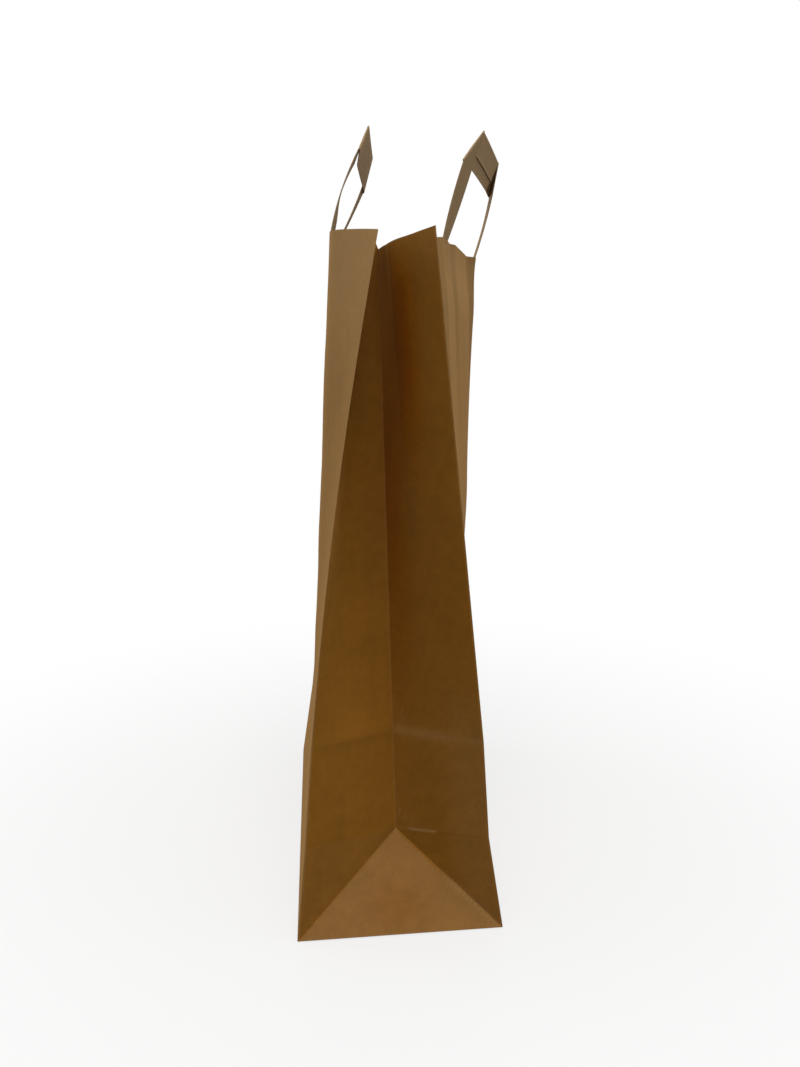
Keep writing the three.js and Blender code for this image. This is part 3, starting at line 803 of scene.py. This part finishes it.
def handlePoint(side, q, h):
    barBottom = handle["rise"][side] - tapeWidth
    low = insideFace(side, q, height + np.minimum(h, 0), handle["legOffset"])
    rims = insideFace(side, legEdges, height, handle["legOffset"])
    straight = np.stack([np.interp(q, legEdges, rims[:, k]) for k in range(3)], axis=-1)
    leg, bar = np.clip(h, 0, barBottom), np.maximum(h - barBottom, 0)
    leans = np.radians(np.array(handle["legLeans"][side], float))
    rimLean, topLean = (np.interp(q, legEdges, leans[:, k]) for k in range(2))
    lean = mixed(rimLean, topLean, leg / barBottom / 2)
    barLean = np.interp(q, [legStart, legEnd], np.radians(handle["barLeans"][side]))
    run = (q - legStart) / handle["span"]
    nearShare = np.clip(1 - (q - legStart) / tapeWidth, 0, 1)
    extra = handle["farRise"][side] * run + handle["nearRise"][side] * nearShare
    leg, bar = leg * (1 + extra / barBottom), bar * (1 - handle["farNarrow"][side] * run)
    point = mixed(low, straight, smoothRise(h, 0, barBottom)[..., None])
    point[..., 1] += leg * np.sin(lean) + bar * np.sin(barLean)
    point[..., 2] += leg * np.cos(lean) + bar * np.cos(barLean)
    return point


def handleFrame(side, q, h):
    # directions along the rim, up the tape and across it
    reach = 0.0005          # over which they are taken
    along = unit(handlePoint(side, q + reach, h) - handlePoint(side, q - reach, h))
    up = unit(handlePoint(side, q, h + reach) - handlePoint(side, q, h - reach))
    return along, up, unit(np.cross(along, up))


def addTape(sheet, side, barBottom, layer):
    close, inner = handle["edgeSteps"]
    w = np.concatenate([
        [0, close], np.linspace(inner, tapeWidth - inner, handle["acrossColumns"]),
        [tapeWidth - close, tapeWidth],
    ])
    rows = []

    def addRow(q, h, offset, outward=0.0, outSign=0.0):
        along, up, normal = handleFrame(side, q, h)
        aside = unit(up + outSign * along)
        offset = np.broadcast_to(offset, q.shape)[..., None]
        rows.append(handlePoint(side, q, h) + normal * offset + aside * outward)

    def standOff(h, opening):
        # how far a leg has opened away from the bar
        fromFold = (w - (h - barBottom)) / math.sqrt(2)
        return math.tan(math.radians(opening[side])) * fromFold * np.clip(h / barBottom, 0, 1)

    def turnIn(h):
        rising, falling = handle["liftSpans"]
        overRim = smoothRise(h, *rising) - smoothRise(h, *falling)
        return handle["nearLift"][side] * w / tapeWidth * overRim

    near, far = legStart + w, legEnd - w
    legTop = barBottom + w
    outer = side * layer        # legs on the outer side, the bar behind them
    bend = np.linspace(0, math.pi, handle["foldRows"])[1:-1]
    underRim = np.linspace(-handle["legDepth"], 0, handle["legRows"])[:-1]
    # up the near leg, over the fold, along the bar, over the other fold and down the far leg
    for h in underRim:
        addRow(near, np.full_like(w, h), outer)
    for share in np.linspace(0, 1, handle["openRows"]):
        h = legTop * share
        addRow(near, h, outer + side * (standOff(h, handle["nearOpening"]) - turnIn(h)))
    for turn in bend:
        addRow(near, legTop, outer * math.cos(turn), layer * math.sin(turn), -1.0)
    for share in np.linspace(0, 1, handle["barRows"]):
        addRow(mixed(near, far, share), legTop, -outer)
    for turn in bend[::-1]:
        addRow(far, legTop, outer * math.cos(turn), layer * math.sin(turn), 1.0)
    for share in np.linspace(1, 0, handle["openRows"]):
        addRow(far, legTop * share, outer + side * standOff(legTop * share, handle["farOpening"]))
    for h in underRim[::-1]:
        addRow(far, np.full_like(w, h), outer)
    points = np.array(rows)
    run = summed(np.linalg.norm(np.diff(points[:, len(w) // 2], axis=0), axis=1), 0)
    edge = np.minimum(w, tapeWidth - w)[None, :]
    wear, slack = line(edge, *handle["edgeWear"]), np.clip(edge / handle["calmReach"], 0, 1)
    sheet.addGrid(points, gridMaps(w, run), wear, slack)


def addOuterPly(sheet, side, barBottom, layer):
    # on the legs' side of the bar, open along its lower edge
    close, inner = handle["plySteps"]
    top = (1 - handle["seamShare"]) * tapeWidth - handle["plyTopGap"]
    w = np.concatenate([[0, close], np.linspace(inner, top, handle["plyColumns"])])[None, :]
    share = np.linspace(0, 1, handle["plyRows"])[:, None]
    q = mixed(legEdges[1] - handle["plyTuck"], legEdges[2] + handle["plyTuck"], share) + 0 * w
    h = barBottom + handle["seamShare"] * tapeWidth + w + 0 * q
    normal = handleFrame(side, q, h)[2]
    lift = handle["seamLift"] * np.exp(-w / handle["seamReach"])
    flat = handle["ply"] - layer + handle["plyClearance"]
    points = handlePoint(side, q, h) + side * normal * (flat + lift)[..., None]
    maps = np.stack([h - barBottom + handle["plyMapShift"], q], axis=-1)
    sheet.addGrid(points, maps, line(w, *handle["seamWear"]), 0.0)


def makeHandle(name, side):
    sheet = Sheet()
    barBottom, layer = handle["rise"][side] - tapeWidth, handle["layerGap"] / 2
    addTape(sheet, side, barBottom, layer)
    addOuterPly(sheet, side, barBottom, layer)
    return sheet.toPiece(name, handle, handle["ply"], handleTape, side)


frontHandle = makeHandle("frontHandle", front)
backHandle = makeHandle("backHandle", back)


# patches: glued inside the rim over the handle legs
patch = dict(
    sideMargin=0.014, belowLegs=0.010, top=0.005, step=0.003,
    shallow=0.00055, deep=0.0013, thickness=0.00025,        # depths behind the face, beside and over a leg
    columns=70, rows=20, edgeWear=(0.4, 0.001), calmReach=0.006,
    waveHeight=0.0001, waveSize=0.03, crumpleHeight=0.00005, crumpleSize=0.006,
    sharpAngle=40, seed=15.0,
)


def makePatch(name, side):
    start = legStart - patch["sideMargin"]
    legFoot = height - handle["legDepth"]
    step = patch["step"]
    q = np.linspace(start, width - start, patch["columns"])
    v = np.linspace(legFoot - patch["belowLegs"], height - patch["top"], patch["rows"])

    def overLeg(first, last):
        return smoothRise(q, first - step, first) - smoothRise(q, last, last + step)

    overLegs = overLeg(*legEdges[:2]) + overLeg(*legEdges[2:])
    share = overLegs[None, :] * smoothRise(v, legFoot - step, legFoot)[:, None]
    depth = mixed(patch["shallow"], patch["deep"], share)
    points = insideFace(side, q[None, :], v[:, None], depth)
    fromSides, fromEnds = np.minimum(q - q[0], q[-1] - q), np.minimum(v - v[0], v[-1] - v)
    border = np.minimum(fromSides[None, :], fromEnds[:, None])
    wear, slack = line(border, *patch["edgeWear"]), np.clip(border / patch["calmReach"], 0, 1)
    sheet = Sheet()
    sheet.addGrid(points, gridMaps(q, v), wear, slack)
    return sheet.toPiece(name, patch, patch["thickness"], patchPaper, side)


frontPatch = makePatch("frontHandlePatch", front)
backPatch = makePatch("backHandlePatch", back)

for piece, node, slotName in (
    (bagBody, "bag_body", "kraft_paper"),
    (frontHandle, "front_handle", "handle_tape"),
    (backHandle, "back_handle", "handle_tape"),
    (frontPatch, "front_handle_patch", "patch_paper"),
    (backPatch, "back_handle_patch", "patch_paper"),
):
    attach(piece, "root")
    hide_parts(node)
print("pieces ride on the root body")


# floor: pale, white to the camera, keeping the bag's shadow near it
floorLook = dict(
    size=12.0, diffuse=(0.70, 0.71, 0.73), bounce=(0.15, 0.15, 0.15),
    shadowShare=0.28, shadowSpan=(0.1, 0.55),
)


def makeFloor():
    half = floorLook["size"] / 2
    corners = [(-half, -half, 0), (half, -half, 0), (half, half, 0), (-half, half, 0)]
    mesh = bpy.data.meshes.new("floor")
    mesh.from_pydata(corners, [], [(0, 1, 2, 3)])
    floor = bpy.data.objects.new("floor", mesh)
    scene.collection.objects.link(floor)
    material = bpy.data.materials.new("paleFloor")
    tree = emptyTree(material)
    place = addNode(tree, "ShaderNodeTexCoord").outputs["Object"]
    distance = addNode(tree, "ShaderNodeVectorMath", {0: place}, operation="LENGTH").outputs["Value"]
    fade = rangeNode(tree, distance, floorLook["shadowSpan"], (floorLook["shadowShare"], 0.0),
                     interpolation_type="SMOOTHSTEP")
    lit = addNode(tree, "ShaderNodeBsdfDiffuse", {"Color": opaque(floorLook["diffuse"])}).outputs[0]
    white = addNode(tree, "ShaderNodeEmission", {"Color": (1, 1, 1, 1), "Strength": 1.0}).outputs[0]
    seen = addNode(tree, "ShaderNodeMixShader", {0: fade, 1: white, 2: lit}).outputs[0]
    bounced = addNode(tree, "ShaderNodeBsdfDiffuse", {"Color": opaque(floorLook["bounce"])}).outputs[0]
    surface = addNode(tree, "ShaderNodeMixShader", {0: seenDirectly(tree), 1: bounced, 2: seen}).outputs[0]
    addNode(tree, "ShaderNodeOutputMaterial", {"Surface": surface})
    mesh.materials.append(material)


makeFloor()


# soft studio light: high up, on both sides, over the tucked end, in front of it and behind the bag
lights = dict(
    top=dict(place=(-0.25, 0.0, 1.9), aim=(0, 0, 0.2), size=1.4, power=1.5, colour=(1, 0.97, 0.93)),
    left=dict(place=(-0.35, -1.6, 0.85), aim=(0, 0, 0.25), size=1.1, power=9.4, colour=(0.95, 0.98, 1)),
    right=dict(place=(0.55, 1.65, 0.8), aim=(0, 0, 0.25), size=1.4, power=7.4, colour=(0.95, 0.98, 1)),
    over=dict(place=(0.5, 0.0, 1.7), aim=(0.2, 0, 0), size=0.7, power=14.0, colour=(1, 0.96, 0.9)),
    fill=dict(place=(1.7, -0.1, 0.45), aim=(0, 0, 0.18), size=0.9, power=6.2, colour=(1, 0.92, 0.8)),
    behind=dict(place=(-1.6, 0.2, 1.0), aim=(0, 0, 0.2), size=1.2, power=6.0, colour=(1, 0.97, 0.93)),
)
worldLook = dict(power=0.33, colour=(1, 0.97, 0.92))


def addLight(name, placed):
    data = bpy.data.lights.new(name, "AREA")
    data.shape = "SQUARE"
    data.size = placed["size"]
    data.energy = placed["power"]
    data.color = placed["colour"]
    lamp = bpy.data.objects.new(name, data)
    lamp.location = placed["place"]
    beam = Vector(placed["aim"]) - Vector(placed["place"])
    lamp.rotation_euler = beam.to_track_quat("-Z", "Y").to_euler()
    scene.collection.objects.link(lamp)


def addWorld():
    world = bpy.data.worlds.new("studio")
    scene.world = world
    tree = emptyTree(world)
    soft = addNode(tree, "ShaderNodeBackground", {
        "Color": opaque(worldLook["colour"]), "Strength": worldLook["power"],
    }).outputs[0]
    white = addNode(tree, "ShaderNodeBackground", {"Color": (1, 1, 1, 1), "Strength": 1.0}).outputs[0]
    surface = addNode(tree, "ShaderNodeMixShader", {0: seenDirectly(tree), 1: soft, 2: white}).outputs[0]
    addNode(tree, "ShaderNodeOutputWorld", {"Surface": surface})


for lampName, placed in lights.items():
    addLight(lampName + "Light", placed)
addWorld()
print("floor and lights placed")
